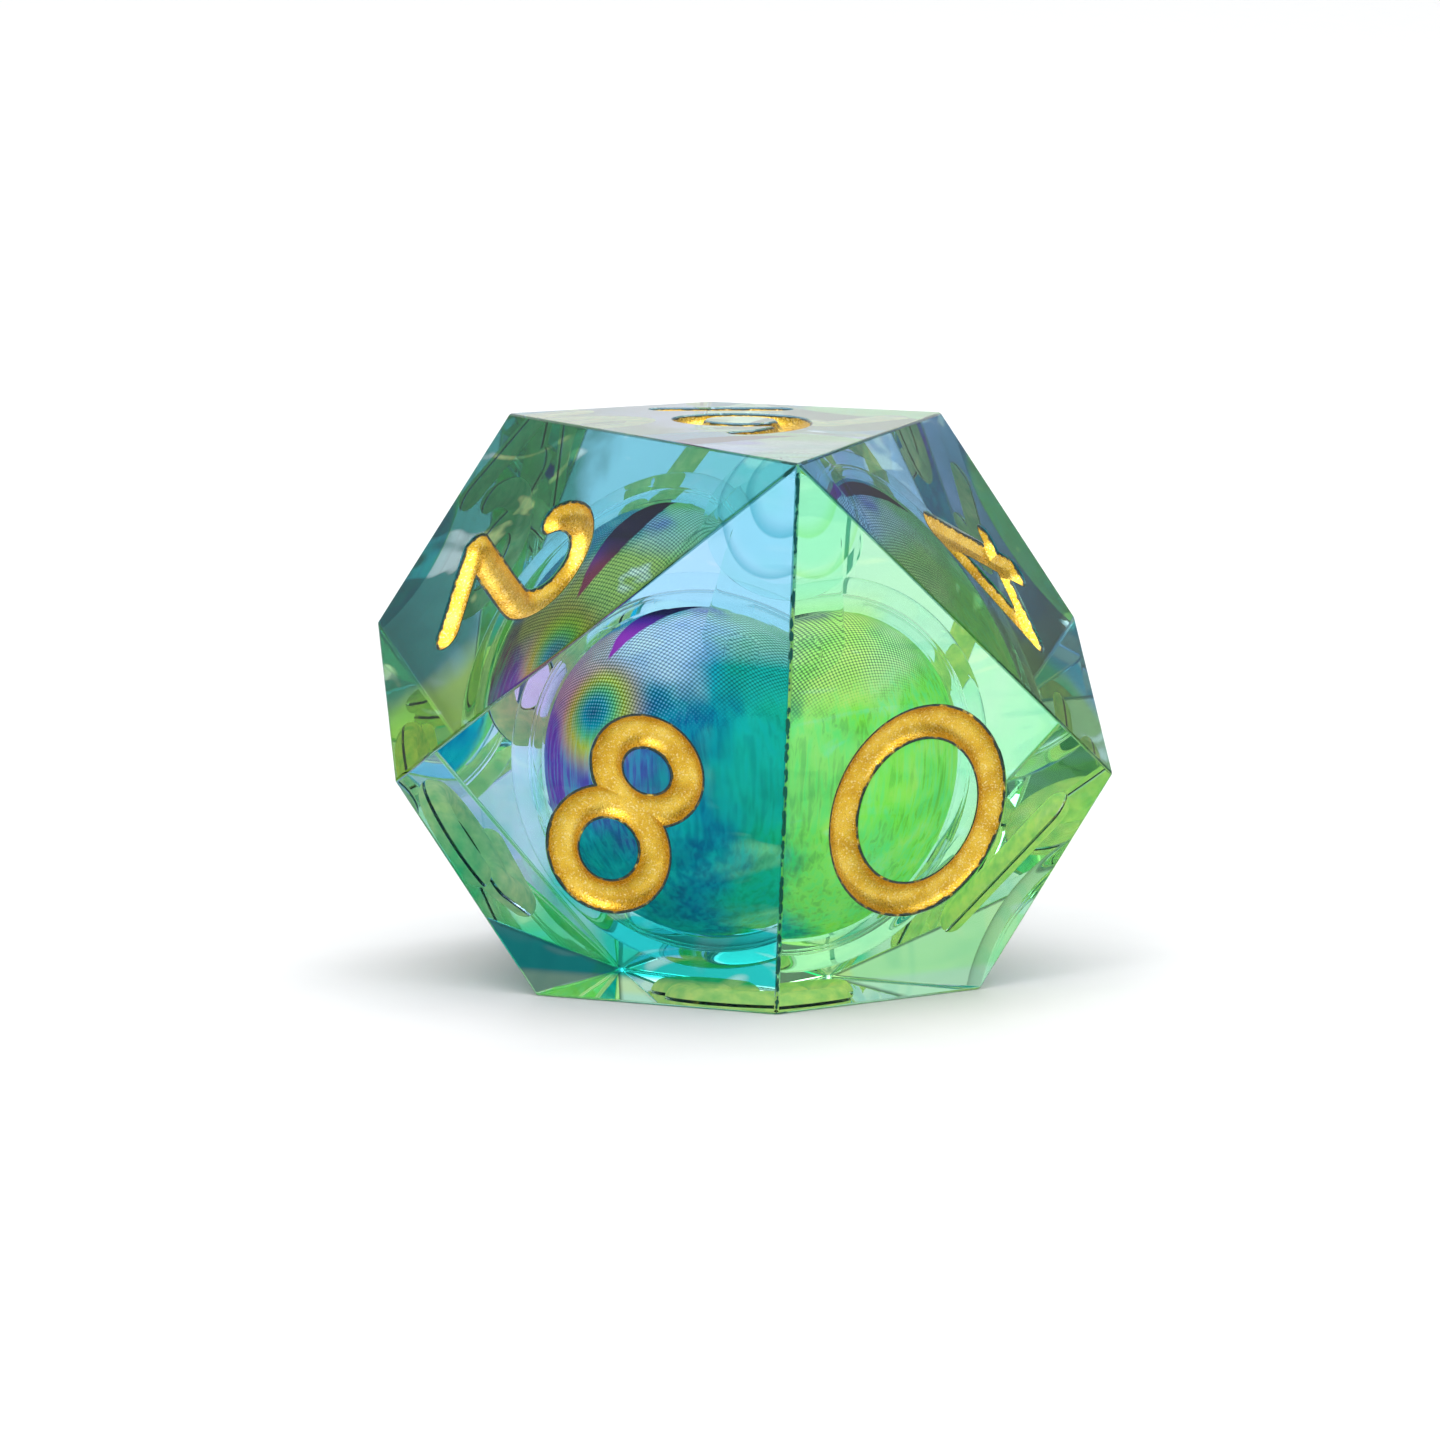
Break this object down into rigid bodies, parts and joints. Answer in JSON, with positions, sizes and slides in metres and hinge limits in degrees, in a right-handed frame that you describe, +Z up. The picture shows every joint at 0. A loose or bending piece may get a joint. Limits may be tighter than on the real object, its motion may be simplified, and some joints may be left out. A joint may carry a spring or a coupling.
{
  "type": "ten-sided die",
  "caption": "Sharp-edged die with kite faces, cast in clear tinted resin around a liquid-filled capsule in which a weighted eyeball rolls.",
  "frame": {"origin": "middle of the resting face (the kite numbered 3), on the surface that the die stands on", "axes": "+Z up, out of the kite numbered 6; -Y towards the apex that the even numerals share; +X to the right when looking along +Y"},
  "size_m": [0.021, 0.0214, 0.016],
  "materials": {
    "tinted_resin": "gloss",
    "clear_acrylic": "gloss",
    "clear_oil": "gloss",
    "gold_paint": "satin",
    "eye_plastic": "satin",
    "eye_print": "satin",
    "ballast_steel": "satin"
  },
  "bodies": {
    "die": {"resin_body": "tinted_resin", "fill_plug": "tinted_resin", "capsule_front_half": "clear_acrylic", "capsule_rear_half": "clear_acrylic", "capsule_stopper": "clear_acrylic", "numeral_0_paint": "gold_paint", "numeral_1_paint": "gold_paint", "numeral_2_paint": "gold_paint", "numeral_3_paint": "gold_paint", "numeral_4_paint": "gold_paint", "numeral_5_paint": "gold_paint", "numeral_6_paint": "gold_paint", "numeral_7_paint": "gold_paint", "numeral_8_paint": "gold_paint", "numeral_9_paint": "gold_paint", "underline_6_paint": "gold_paint", "underline_9_paint": "gold_paint"},
    "liquid": {"core_liquid": "clear_oil"},
    "eyeball": {"eye_front_shell": "eye_plastic", "eye_rear_shell": "eye_plastic", "eye_print_film": "eye_print", "eye_ballast": "ballast_steel"}
  },
  "joints": [
    {"name": "liquid_swirl", "type": "hinge", "parent": "die", "child": "liquid", "pos_m": [0, 0, 0.0067], "axis": [0, 0, 1], "continuous": true},
    {"name": "eye_tilt", "type": "hinge", "parent": "liquid", "child": "eyeball", "pos_m": [0, 0, 0.0067], "axis": [1, 0, 0], "continuous": true}
  ]
}
